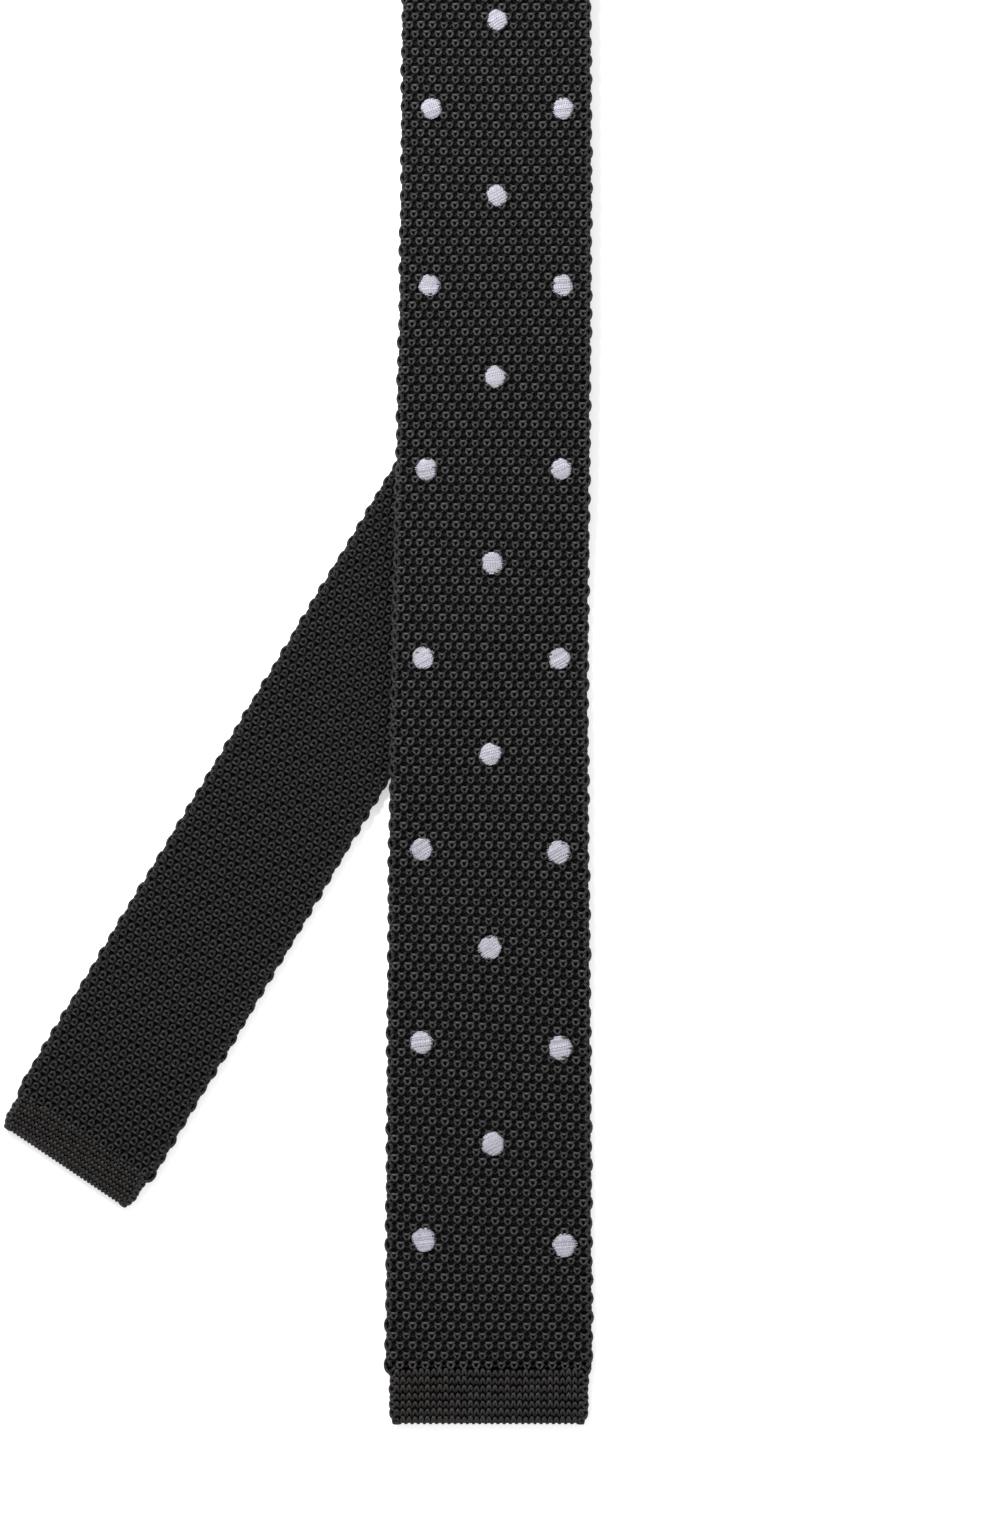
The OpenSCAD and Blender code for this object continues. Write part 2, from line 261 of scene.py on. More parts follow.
def tubes(centres, normals, radii, sides, shade=None):
    """Tube meshes along rows of centres: points, quads and three UV layers.

    centres and normals are (rows, samples, 3), radii is (rows, samples). shade
    is (rows, samples, 2): how far out of the cloth a yarn stands, which the yarn
    material turns into painted shade and a painted highlight, and its tone."""
    rows, samples = centres.shape[:2]
    along = np.gradient(centres, axis=1)
    lengths = np.linalg.norm(along, axis=2, keepdims=True)
    tangent = along / np.maximum(lengths, 1e-9)
    up = normals - (normals * tangent).sum(2, keepdims=True) * tangent
    up /= np.maximum(np.linalg.norm(up, axis=2, keepdims=True), 1e-9)
    side = np.cross(tangent, up)
    turn = np.arange(sides) * TAU / sides
    ring = np.cos(turn)[:, None] * up[:, :, None] + np.sin(turn)[:, None] * side[:, :, None]
    points = centres[:, :, None] + radii[:, :, None, None] * ring

    r, m, k = np.meshgrid(
        np.arange(rows), np.arange(samples - 1), np.arange(sides), indexing="ij"
    )
    at = (r * samples + m) * sides
    quads = np.stack([at + k, at + sides + k, at + sides + (k + 1) % sides, at + (k + 1) % sides], -1)
    travelled = np.cumsum(lengths[:, :, 0], axis=1)
    u0, u1 = travelled[r, m], travelled[r, m + 1]
    v0, v1 = k / sides, (k + 1) / sides
    thread = np.stack([u0, v0, u1, v0, u1, v1, u0, v1], -1)
    a0, a1 = m / (samples - 1), (m + 1) / (samples - 1)
    b0, b1 = (r + 0.1 + 0.8 * v0) / rows, (r + 0.1 + 0.8 * v1) / rows
    atlas = np.stack([a0, b0, a1, b0, a1, b1, a0, b1], -1)
    uvs = {"thread": thread, "OFBake": atlas}
    if shade is None:
        shade = np.full((rows, samples, 2), 0.8)
    start, end = shade[r, m], shade[r, m + 1]
    uvs["shade"] = np.concatenate([start, end, end, start], -1)
    return points.reshape(-1, 3), quads.reshape(-1, 4), uvs


def joined(parts):
    """Several (points, quads, uvs) as one. Their bake areas lie side by side."""
    points, quads, layers, start = [], [], {}, 0
    for i, (p, q, uv) in enumerate(parts):
        points.append(p)
        quads.append(q + start)
        start += len(p)
        for layer, values in uv.items():
            values = values.reshape(-1, 2).copy()
            if layer == "OFBake":
                values[:, 0] = (i + 0.01 + 0.98 * values[:, 0]) / len(parts)
            layers.setdefault(layer, []).append(values)
    uvs = {layer: np.concatenate(values) for layer, values in layers.items()}
    return np.concatenate(points), np.concatenate(quads), uvs


# ----------------------------------------------------------------- the knit
# A stitch is a ring: a loop yarn makes its curved side, towards the front tip,
# and a bar yarn closes it. Each key point is (part of a stitch's width from its
# middle, across in stitch widths, along in half rows, up in millimetres), from
# the middle of the stitch to where it meets the next one.
FACE_LOOP = [(0, 0, -0.35, 0.26), (0.10, 0.15, -0.22, 0.42), (0.20, 0.235, 0.04, 0.38),
             (0.30, 0.21, 0.28, 0.0), (0.40, 0.33, 0.45, -0.46), (0.50, 0.50, 0.52, -0.60)]
FACE_BAR = [(0, 0, 0.23, 0.56), (0.12, 0.12, 0.25, 0.50), (0.22, 0.235, 0.15, 0.16),
            (0.32, 0.33, -0.02, -0.34), (0.42, 0.43, -0.15, -0.64), (0.50, 0.50, -0.18, -0.70)]
BACK_LOOP = [(0, 0, -0.30, 0.34), (0.10, 0.17, -0.25, 0.42), (0.19, 0.29, -0.05, 0.36),
             (0.28, 0.31, 0.12, 0.08), (0.38, 0.38, 0.16, -0.24), (0.50, 0.50, 0.10, -0.34)]
BACK_BAR = [(0, 0, 0.29, 0.50), (0.14, 0.17, 0.29, 0.48), (0.24, 0.31, 0.28, 0.22),
            (0.33, 0.36, 0.42, -0.14), (0.42, 0.43, 0.57, -0.32), (0.50, 0.50, 0.62, -0.36)]
HEM_LOOP = [(0, 0, 0.42, 0.36), (0.14, 0.13, 0.24, 0.38), (0.28, 0.26, -0.08, 0.26),
            (0.40, 0.39, -0.34, -0.04), (0.50, 0.50, -0.40, -0.16)]

FRONT_CELLS, FRONT_ROW = 16.4, 0.774    # stitches across, half-row height over stitch width
TAIL_CELLS, TAIL_ROW = 19.6, 1.11
FACE_R, BACK_R = 0.36 * MM, 0.41 * MM
EDGE_R = 0.46 * MM
MEAN_H = 0.95 * MM                      # the yarns' mean plane above the middle
HEM_PITCH = 0.78                        # a hem stitch's width over its row's height
COURSE_INSET = 1.0 * MM                 # how far inside the edge a course ends
COURSE_FADE = 0.9 * MM                  # the last of it, which sinks into the cloth
TIP_MARGIN = 0.45 * MM                  # how far inside a tip the hem's yarns stay
HEM_ROWS = 7
HEM_R = 0.23                            # a hem yarn's radius over its stitch's width
EDGE_OUT = (0.24, -0.30)                # how far the edge yarns stand out by turns, mm
HEM_EDGE_OUT = (0.10, 0.02)
SHOWN_FACE_TO = 432 * MM                # the stitches in full view are the finest
SHOWN_BACK_FROM = TIP_G - 235 * MM
SHOWN_MESH = (14, 6, 30)                # samples in a stitch, sides of a yarn, half rows in a piece
HIDDEN_MESH = (8, 5, 60)


def smooth_keys(keys, t):
    """The key points' columns at t, 0 to 0.5, on a smooth curve that is
    mirrored at both ends."""
    keys = np.array(keys, float)
    turned = keys[::-1].copy()
    turned[:, 0] = 1 - turned[:, 0]
    turned[:, 1] = 1 - turned[:, 1]
    before = keys[:0:-1] * np.array([-1, -1, 1, 1])
    whole = np.concatenate([before[-2:], keys, turned[1:3]])
    slope = np.gradient(whole, whole[:, 0], axis=0)
    i = np.clip(np.searchsorted(whole[:, 0], t, side="right") - 1, 2, len(keys))
    step = whole[i + 1, 0] - whole[i, 0]
    f = ((t - whole[i, 0]) / step)[..., None]
    run = step[..., None]
    value = (whole[i] * (2 * f**3 - 3 * f**2 + 1) + whole[i + 1] * (3 * f**2 - 2 * f**3)
             + slope[i] * run * (f**3 - 2 * f**2 + f) + slope[i + 1] * run * (f**3 - f**2))
    return value[..., 1], value[..., 2], value[..., 3]


def scatter(a, b, seed):
    """A repeatable scatter from -1 to 1 for each pair of numbers."""
    return np.sin(a * 12.9898 + b * 78.233 + seed * 37.719 + 3 * np.sin(a * 4.17 + b * 2.63))


def rows_between(g0, g1, cells, ratio, start):
    """Half rows from g0 to g1: their places, stitch widths and numbers."""
    g = np.linspace(g0, g1, 400)
    density = cells / (2 * half_width(g) * ratio)
    count = np.concatenate([[0], np.cumsum((density[1:] + density[:-1]) / 2 * np.diff(g))])
    rows = max(1, int(round(count[-1])))
    at = np.interp((np.arange(rows) + 0.5) / rows * count[-1], count, g)
    return at, 2 * half_width(at) / cells, np.arange(rows) + start


def row_shift(x, g):
    """How far a course lies from its even place: slow waves, and the slant."""
    return 0.45 * MM * wander(x, g, 75 * MM, 5) + np.where(g < FOLD_Y, slant(x, g), 0)


def course(g, cell, number, side, keys, radius, samples, sides, row, half=half_width, shift=row_shift):
    """The tubes of one yarn in each of these half rows."""
    number = number[:, None]
    g, cell = g[:, None], cell[:, None]
    limit = half(g) - COURSE_INSET
    turns = np.linspace(-1, 1, samples)[None, :] * limit / cell + number / 2
    stitch = np.round(turns)
    away = turns - stitch
    across, along, up = smooth_keys(keys, np.abs(away))
    own = ease(1 - 2 * np.abs(away))
    size = 1 + 0.10 * scatter(number, stitch, 1) * own
    x = (stitch - number / 2 + np.sign(away) * across * size) * cell
    fade = ease((np.abs(x) - limit + COURSE_FADE) / COURSE_FADE)
    x = np.clip(x, -limit, limit)
    along = along * (1 + 0.10 * scatter(number, stitch, 2) * own) * (1 - 0.6 * fade)
    along = along + 0.05 * scatter(number, stitch, 3) * own
    up = (up + 0.045 * scatter(number, stitch, 4) * own) * (1 - fade) - 0.45 * fade
    here = g + row * along
    here = here + shift(x, here)
    h = side * (MEAN_H + up * MM)
    centres = place(x, here, h)
    normals = place(x, here, h + side * 0.2 * MM) - centres
    radii = np.full(x.shape, radius) * (1 + 0.06 * scatter(number, stitch, 6) * own)
    radii[:, [0, -1]] *= 0.1
    # The first value, how far up a yarn stands, becomes painted shade where it dives and a painted
    # highlight on its crown. The second is each stitch's own random tone.
    shade = np.stack([np.clip((up + 0.75) / 1.35, 0.01, 0.99),
                      0.5 + 0.49 * scatter(number, stitch, 7) * own], -1)
    return tubes(centres, normals, radii, sides, shade)


def selvedge(name, g, row, number, material, half=half_width, out=EDGE_OUT, shift=row_shift):
    """The turning yarns round both edges of these half rows. They stand out by
    turns, which makes the scalloped edge."""
    overlap, samples = 1.25, 15
    tuck, tail_off = 1.5 * MM, 0.8 * MM     # how far in a yarn runs by its turn, and beyond it
    run = 0.90                              # half a yarn's length along the edge, in rows
    u = np.linspace(-overlap, overlap, samples)[None, :]
    g, row, number = g[:, None], row[:, None], number[:, None]
    width = half(g)
    inner = np.minimum(np.abs(u), 1)
    dive = 1 - 0.9 * ease((np.abs(u) - 0.9) / 0.35)
    parts = []
    for edge in (1, -1):
        for lean in (1, -1):
            far = np.where((number + (edge > 0)) % 2 == 0, out[0], out[1]) * MM
            far = far + 0.14 * MM * scatter(number, edge, lean)
            tucked = (tuck + far) * inner**2.4
            x = edge * (width + far - EDGE_R - tucked - tail_off * (np.abs(u) - inner))
            h = -lean * MEAN_H * 1.12 * np.sin(math.pi / 2 * np.clip(u, -1, 1)) * dive
            here = g + row * (run * u + 0.08 * scatter(number, lean, 3 * edge))
            here = here + shift(x, here)
            centres = place(x, here, h)
            outside = place(x + edge * 0.2 * MM * (1 - inner), here, h * 1.2) - centres
            radii = np.full(u.shape, EDGE_R) * np.ones_like(g)
            radii[:, [0, -1]] *= 0.1
            # how far out each turning yarn stands, which the yarn material paints as shade, darkest where
            # it dives into the cloth
            lift = np.clip(0.66 * dive, 0.02, 0.98) * np.ones_like(g)
            tone = 0.5 + 0.4 * scatter(number, lean, edge) * np.ones_like(u)
            parts.append(tubes(centres, outside, radii, 6, np.stack([lift, tone], -1)))
    points, quads, uvs = joined(parts)
    return make_mesh(name, points, quads, material, uvs)


def knit(name, g0, g1, side, material, start, cells, ratio):
    """The knitted courses of one side of a stretch of the tie, in pieces of a
    size that stays easy to handle. Returns the pieces and the rows."""
    loop, bar, radius = (FACE_LOOP, FACE_BAR, FACE_R) if side > 0 else (BACK_LOOP, BACK_BAR, BACK_R)
    g, cell, number = rows_between(g0, g1, cells, ratio, start)
    pieces, i = [], 0
    while i < len(g):
        shown = g[i] < SHOWN_FACE_TO if side > 0 else g[i] > SHOWN_BACK_FROM
        per_stitch, sides, limit = SHOWN_MESH if shown else HIDDEN_MESH
        rows = slice(i, i + limit)
        row = (cell * ratio)[rows, None]
        points, quads, uvs = joined([
            course(g[rows], cell[rows], number[rows], side, keys, radius,
                   int(per_stitch * cells), sides, row)
            for keys in (loop, bar)
        ])
        pieces.append(make_mesh(f"{name}_{len(pieces) + 1}", points, quads, material, uvs))
        i += limit
    return pieces, (g, cell * ratio, number)


def ground(name, g0, g1, material, half=half_width, close_start=False, close_end=False):
    """The dense inner side of the knit, which the yarns stand on: a flat tube.
    Its near-black colour is painted shade for the holes between the stitches.
    """
    thick, inset, step, closed = 0.34 * MM, 0.45 * MM, 3 * MM, 0.02
    steps = max(3, int((g1 - g0) / step))
    g = np.linspace(g0, g1, steps + 1)
    ends = np.ones_like(g)
    if close_start:
        ends[0] = closed
    if close_end:
        ends[-1] = closed
    turn = np.linspace(0, math.pi, 9)[:, None]
    wide = (half(g) - inset)[None, :] * np.ones_like(turn)
    across = 21
    lanes = np.linspace(1, -1, across)[:, None]
    x = np.concatenate([(wide[:1] - thick) * lanes, -(wide - thick) - thick * np.sin(turn),
                        (wide[:1] - thick) * -lanes, (wide - thick) + thick * np.sin(turn)])
    h = np.concatenate([np.full((across, 1), thick), thick * np.cos(turn),
                        np.full((across, 1), -thick), -thick * np.cos(turn)]) * ends[None, :]
    points = place(x, g[None, :], h)
    around, along = points.shape[:2]
    a, b = np.meshgrid(np.arange(around), np.arange(along - 1), indexing="ij")
    n = (a + 1) % around
    quads = np.stack([a * along + b, n * along + b, n * along + b + 1, a * along + b + 1], -1)
    u0, u1, v0, v1 = b / (along - 1), (b + 1) / (along - 1), a / around, (a + 1) / around
    uv = np.stack([u0, v0, u0, v1, u1, v1, u1, v0], -1)
    return make_mesh(name, points.reshape(-1, 3), quads.reshape(-1, 4), material, {"OFBake": uv})


def hem(name, tip, top, towards, half, material):
    """Plain-knit hem rows on both sides of the cloth, from a tip to its top."""
    step = abs(top - tip) / HEM_ROWS
    number = np.arange(HEM_ROWS)
    g = tip + towards * (number + 0.58) * step
    row = np.full((HEM_ROWS, 1), towards * step)

    def shift(x, here):
        """Slow waves that die out at the tip, where nothing passes the edge."""
        inside = (here - tip) * towards
        waves = 0.3 * MM * wander(x, here, 40 * MM, 8) * ease(inside / (5 * MM))
        return towards * (waves + np.maximum(TIP_MARGIN - inside, 0))

    pitch = HEM_PITCH * step
    samples = int(2 * half(g).max() / pitch * 9)
    parts = [course(g, np.full(HEM_ROWS, pitch), number * 2, side, HEM_LOOP, HEM_R * pitch, samples, 6,
                    row, half, shift) for side in (1, -1)]
    points, quads, uvs = joined(parts)
    courses = make_mesh(name, points, quads, material, uvs)
    edges = selvedge(name + "_selvedge", g, row[:, 0], number, material, half, HEM_EDGE_OUT, shift)
    return [courses, edges]


# --------------------------------------------------------------- materials
def material(name, colour, roughness, sheen=0.0, specular=0.5):
    mat = bpy.data.materials.new(name)
    mat.use_nodes = True
    shader = mat.node_tree.nodes["Principled BSDF"]
    shader.inputs["Base Color"].default_value = (*colour, 1)
    shader.inputs["Roughness"].default_value = roughness
    shader.inputs["Specular IOR Level"].default_value = specular
    shader.inputs["Sheen Weight"].default_value = sheen
    shader.inputs["Sheen Roughness"].default_value = 0.4
    return mat, mat.node_tree, shader


def ramp(tree, value, *stops):
    """A colour ramp over a value, from (position, colour) stops."""
    node = tree.nodes.new("ShaderNodeValToRGB")
    points = node.color_ramp.elements
    while len(points) < len(stops):
        points.new(0.5)
    for point, (position, colour) in zip(points, stops):
        point.position = position
        point.color = (*colour, 1)
    tree.links.new(value, node.inputs["Fac"])
    return node.outputs["Color"]


def scaled(colour, amount):
    return tuple(c * amount for c in colour)


def noise(tree, size, detail=3.0):
    """A soft noise over the object, size metres from spot to spot."""
    where = tree.nodes.new("ShaderNodeTexCoord")
    node = tree.nodes.new("ShaderNodeTexNoise")
    node.inputs["Scale"].default_value = 1 / size
    node.inputs["Detail"].default_value = detail
    tree.links.new(where.outputs["Object"], node.inputs["Vector"])
    return node.outputs["Fac"]


def times(tree, a, b):
    node = tree.nodes.new("ShaderNodeMix")
    node.data_type = "RGBA"
    node.blend_type = "MULTIPLY"
    node.inputs["Factor"].default_value = 1.0
    tree.links.new(a, node.inputs["A"])
    tree.links.new(b, node.inputs["B"])
    return node.outputs["Result"]


def bump(tree, shader, height, distance):
    node = tree.nodes.new("ShaderNodeBump")
    node.inputs["Distance"].default_value = distance
    tree.links.new(height, node.inputs["Height"])
    tree.links.new(node.outputs["Normal"], shader.inputs["Normal"])


def uv_parts(tree, layer):
    uv = tree.nodes.new("ShaderNodeUVMap")
    uv.uv_map = layer
    split = tree.nodes.new("ShaderNodeSeparateXYZ")
    tree.links.new(uv.outputs["UV"], split.inputs["Vector"])
    return split.outputs["X"], split.outputs["Y"]


def twist(tree, turn):
    """A wave that winds round a yarn, one turn each turn metres."""
    along, around = uv_parts(tree, "thread")
    turned = tree.nodes.new("ShaderNodeMath")
    turned.operation = "MULTIPLY"
    turned.inputs[1].default_value = TAU * 2
    lay = tree.nodes.new("ShaderNodeMath")
    lay.operation = "MULTIPLY_ADD"
    lay.inputs[1].default_value = TAU / turn
    wave = tree.nodes.new("ShaderNodeMath")
    wave.operation = "SINE"
    tree.links.new(around, turned.inputs[0])
    tree.links.new(along, lay.inputs[0])
    tree.links.new(turned.outputs[0], lay.inputs[2])
    tree.links.new(lay.outputs[0], wave.inputs[0])
    return wave.outputs[0]


def yarn_material(name, colour, middle, crown, tint):
    """Wool-like yarn, with painted shade where it dives into the cloth and a painted
    highlight on the stitches' crowns, a tone of its own for each stitch and a slow drift of tint."""
    mat, tree, shader = material(name, colour, 0.60, 0.05, 0.30)
    lift, tone = uv_parts(tree, "shade")
    # Painted shade and highlight: the yarn's colour is scaled by how far it stands out of the cloth, to 4%
    # where it dives in, by middle partway up, and by crown, above its own colour, on the stitches' crowns.
    body = ramp(tree, lift, (0.0, scaled(colour, 0.04)), (0.45, scaled(colour, middle)),
                (0.78, scaled(colour, 0.55)), (0.97, scaled(colour, crown)))
    stitches = ramp(tree, tone, (0.0, (0.80, 0.80, 0.80)), (1.0, (1.0, 1.0, 1.0)))
    fuzz = ramp(tree, noise(tree, 0.5 * MM, 4), (0.3, (0.66, 0.66, 0.66)), (0.7, (1.0, 1.0, 1.0)))
    drifting = ramp(tree, noise(tree, 28 * MM), (0.35, (1.0, 1.0, 1.0)), (0.65, tint))
    colours = times(tree, times(tree, body, stitches), times(tree, fuzz, drifting))
    tree.links.new(colours, shader.inputs["Base Color"])
    bump(tree, shader, twist(tree, 0.9 * MM), 0.045 * MM)
    return mat


def painted_shade_ground_material():
    # Near-black painted shade with a faint random mottle: far darker than the yarn, so the holes between
    # the stitches show as shade.
    mat, tree, shader = material("knit_ground", (0.004, 0.004, 0.004), 0.95, 0.0, 0.1)
    tree.links.new(ramp(tree, noise(tree, 1.5 * MM), (0.35, (0.0025, 0.0025, 0.0025)),
                        (0.7, (0.007, 0.0065, 0.0065))), shader.inputs["Base Color"])
    bump(tree, shader, noise(tree, 0.6 * MM), 0.2 * MM)
    return mat


def silk_material():
    """Pale lilac-grey embroidery silk, glossy along the threads."""
    silk = (0.42, 0.415, 0.47)
    mat, tree, shader = material("dot_silk", silk, 0.42, 0.15, 0.5)
    tone = uv_parts(tree, "shade")[1]
    threads = ramp(tree, tone, (0.0, scaled(silk, 0.80)), (1.0, scaled(silk, 1.25)))
    spots = ramp(tree, noise(tree, 0.35 * MM, 2), (0.32, (0.58, 0.58, 0.62)), (0.6, (1.0, 1.0, 1.0)))
    tree.links.new(times(tree, threads, spots), shader.inputs["Base Color"])
    bump(tree, shader, twist(tree, 0.7 * MM), 0.03 * MM)
    return mat


def thread_material(name, colour):
    mat, tree, shader = material(name, colour, 0.45, 0.1, 0.4)
    fibres = ramp(tree, noise(tree, 0.4 * MM), (0.3, scaled(colour, 0.6)), (0.7, scaled(colour, 1.2)))
    tree.links.new(fibres, shader.inputs["Base Color"])
    bump(tree, shader, noise(tree, 0.25 * MM, 2), 0.05 * MM)
    return mat


def woven_material(name, colour, across, along, depth, roughness, direction="Object"):
    """A plain or ribbed weave: bands of across and along metres."""
    mat, tree, shader = material(name, colour, roughness, 0.1, 0.4)
    where = tree.nodes.new("ShaderNodeTexCoord")
    waves = []
    for axis, pitch in (("X", across), ("Y", along)):
        wave = tree.nodes.new("ShaderNodeTexWave")
        wave.bands_direction = axis
        wave.inputs["Scale"].default_value = TAU / (20 * pitch)
        wave.inputs["Distortion"].default_value = 0.3
        tree.links.new(where.outputs[direction], wave.inputs["Vector"])
        waves.append(wave.outputs["Fac"])
    both = tree.nodes.new("ShaderNodeMath")
    both.operation = "MULTIPLY"
    tree.links.new(waves[0], both.inputs[0])
    tree.links.new(waves[1], both.inputs[1])
    weave = ramp(tree, both.outputs[0], (0.1, scaled(colour, 0.55)), (0.7, scaled(colour, 1.1)))
    wear = ramp(tree, noise(tree, 4 * MM), (0.3, (0.82, 0.82, 0.82)), (0.7, (1.0, 1.0, 1.0)))
    tree.links.new(times(tree, weave, wear), shader.inputs["Base Color"])
    bump(tree, shader, both.outputs[0], depth)
    return mat


# Each yarn's own colour, then the painted shade partway up a yarn, the painted highlight on its crown, and
# a slow random tint.
FRONT_YARN = yarn_material("front_yarn", (0.047, 0.0445, 0.046), 0.17, 1.45, (1.0, 0.95, 0.92))
TAIL_YARN = yarn_material("tail_yarn", (0.0200, 0.0185, 0.0192), 0.40, 1.15, (0.97, 1.0, 0.97))
HEM_YARN = yarn_material("hem_yarn", (0.0405, 0.037, 0.036), 0.30, 1.10, (1.0, 0.94, 0.90))
PAINTED_SHADE_GROUND = painted_shade_ground_material()
SILK = silk_material()
THREAD = thread_material("sewing_thread", (0.020, 0.019, 0.020))
TAPE = woven_material("stay_tape", (0.070, 0.068, 0.068), 0.9 * MM, 0.9 * MM, 0.08 * MM, 0.7)
RIBBON = woven_material("ribbon", (0.030, 0.029, 0.031), 0.85 * MM, 0.25 * MM, 0.10 * MM, 0.5)
LABEL = woven_material("label_satin", (0.60, 0.59, 0.57), 0.22 * MM, 0.45 * MM, 0.03 * MM, 0.38)

for node, finish in (
    ("front_tip_seam", THREAD), ("tail_tip_seam", THREAD), ("front_tape_tack", THREAD),
    ("tail_tape_tack", THREAD), ("front_stay_tape", TAPE), ("fold_upper_tape", TAPE),
    ("fold_lower_tape", TAPE), ("tail_stay_tape", TAPE),
):
    bpy.data.objects[node].data.materials[0] = finish

# ------------------------------------------------------------ the knitted tube
SWING_S = (205 * MM, 300 * MM)          # the stretch between the tail's neck and its blade, from its tip
LIFT_FROM = TIP_G - LIFT_S - 2 * MM     # the stretch between the tail's blade and its end: it is past the hinge
LIFT_TO = LIFT_FROM + 36 * MM           # the hinge, so that no cloth turns down into the floor
STRETCHES = [
    ("front_knit", HEM_TOP, FOLD_Y, "front", None),
    ("fold_upper_knit", FOLD_Y, FOLD_Y + FOLD_LEN / 3, "front", "fold_upper"),
    ("fold_middle_knit", FOLD_Y + FOLD_LEN / 3, FOLD_Y + 2 * FOLD_LEN / 3, "fold_upper", "fold_lower"),
    ("fold_lower_knit", FOLD_Y + 2 * FOLD_LEN / 3, TAIL_G, "fold_lower", "tail_neck"),
    ("tail_upper_knit", TAIL_G, TIP_G - SWING_S[1], "tail_neck", None),
    ("tail_bend_knit", TIP_G - SWING_S[1], TIP_G - SWING_S[0], "tail_neck", "tail_blade"),
    ("tail_blade_knit", TIP_G - SWING_S[0], LIFT_FROM, "tail_blade", None),
    ("tail_lift_knit", LIFT_FROM, LIFT_TO, "tail_blade", "tail_end"),
    ("tail_end_knit", LIFT_TO, TIP_G - TAIL_HEM, "tail_end", None),
]
HEM_LAP = 2 * MM                        # how far a hem runs up inside the tube
CORNER, CORNER_RUN = 1.3 * MM, 4 * MM   # how much a hem's corners are rounded off
CAD_TUBES = {
    "front_knit": ["front_blade_tube"],
    "fold_upper_knit": ["neck_fold_upper"],
    "fold_lower_knit": ["neck_fold_lower"],
    "tail_upper_knit": ["tail_upper_tube"],
    "tail_blade_knit": ["tail_blade_tube"],
    "tail_end_knit": ["tail_end_tube"],
}


def hold(pieces, body, other, g0, g1):
    """Rides the pieces on one body. Given a second body, it only bakes the pieces'
    transform and puts them on no body."""
    a, b = place(0.0, np.array([g0, g1]), 0.0)
    for piece in pieces:
        if other is None:
            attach(piece, body)
        else:
            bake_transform(piece)


def knitted_tube():
    row = 0
    for name, g0, g1, body, other in STRETCHES:
        front = name.startswith("f")
        cells, ratio = (FRONT_CELLS, FRONT_ROW) if front else (TAIL_CELLS, TAIL_ROW)
        yarn = FRONT_YARN if front else TAIL_YARN
        face, rows = knit(name + "_face", g0, g1, 1, yarn, row, cells, ratio)
        back, rows = knit(name + "_back", g0, g1, -1, yarn, row, cells, ratio)
        edges = selvedge(name + "_selvedge", *rows, yarn)
        base = ground(name + "_ground", g0, g1, PAINTED_SHADE_GROUND)
        row += len(rows[0])
        yarns = face + back + [edges]
        hold(yarns + [base], body, other, g0, g1)
        if name in CAD_TUBES:
            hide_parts(*CAD_TUBES[name])


def hem_half(half, tip):
    """Half the width of a hem with rounded corners, as a function of g."""
    return lambda g: half - CORNER * (1 - ease(np.abs(g - tip) / CORNER_RUN))


def hems():
    for name, tip, top, half, body, node in (
        ("front_hem", 0.0, HEM_TOP, HEM_HALF, "front", "front_hem_band"),
        ("tail_hem", TIP_G, TIP_G - TAIL_HEM, TAIL_HEM_HALF, "tail_end", "tail_hem_band"),
    ):
        towards = 1 if top > tip else -1
        wide = hem_half(half, tip)
        ends = sorted((tip + towards * TIP_MARGIN, top + towards * HEM_LAP))
        base = ground(name + "_ground", *ends, PAINTED_SHADE_GROUND, wide, towards > 0, towards < 0)
        knitted = hem(name + "_rows", tip, top, towards, wide, HEM_YARN)
        for piece in [base] + knitted:
            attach(piece, body)
        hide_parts(node)


knitted_tube()
hems()


# -------------------------------------------------------- dots, loop and label
def islands(node):
    """The lowest and highest corners of each separate solid of a node."""
    mesh = bpy.data.objects[node].data
    points = node_points(node)
    group = np.arange(len(points))
    ends = np.empty(len(mesh.edges) * 2, np.int32)
    mesh.edges.foreach_get("vertices", ends)
    ends = ends.reshape(-1, 2)
    while True:
        least = np.minimum(group[ends[:, 0]], group[ends[:, 1]])
        joined_up = group.copy()
        np.minimum.at(joined_up, ends[:, 0], least)
        np.minimum.at(joined_up, ends[:, 1], least)
        if (joined_up == group).all():
            break
        group = joined_up
    spans = [(points[group == i].min(0), points[group == i].max(0)) for i in np.unique(group)]
    merged = []
    for low, high in sorted(spans, key=lambda span: (span[0][1], span[0][0])):
        near = next((m for m in merged if (m[0] <= high).all() and (low <= m[1]).all()), None)
        if near is None:
            merged.append([low, high])
        else:
            near[0], near[1] = np.minimum(near[0], low), np.maximum(near[1], high)
    return merged


def dot_middle(x, y):
    """Where an embroidered dot sits on the cloth."""
    along = (1.3 * ease((140 - y / MM) / 90) + 0.3) * MM
    return x + along, y + slant(x, y) - 1.0 * MM * ease((y / MM - 350) / 40)


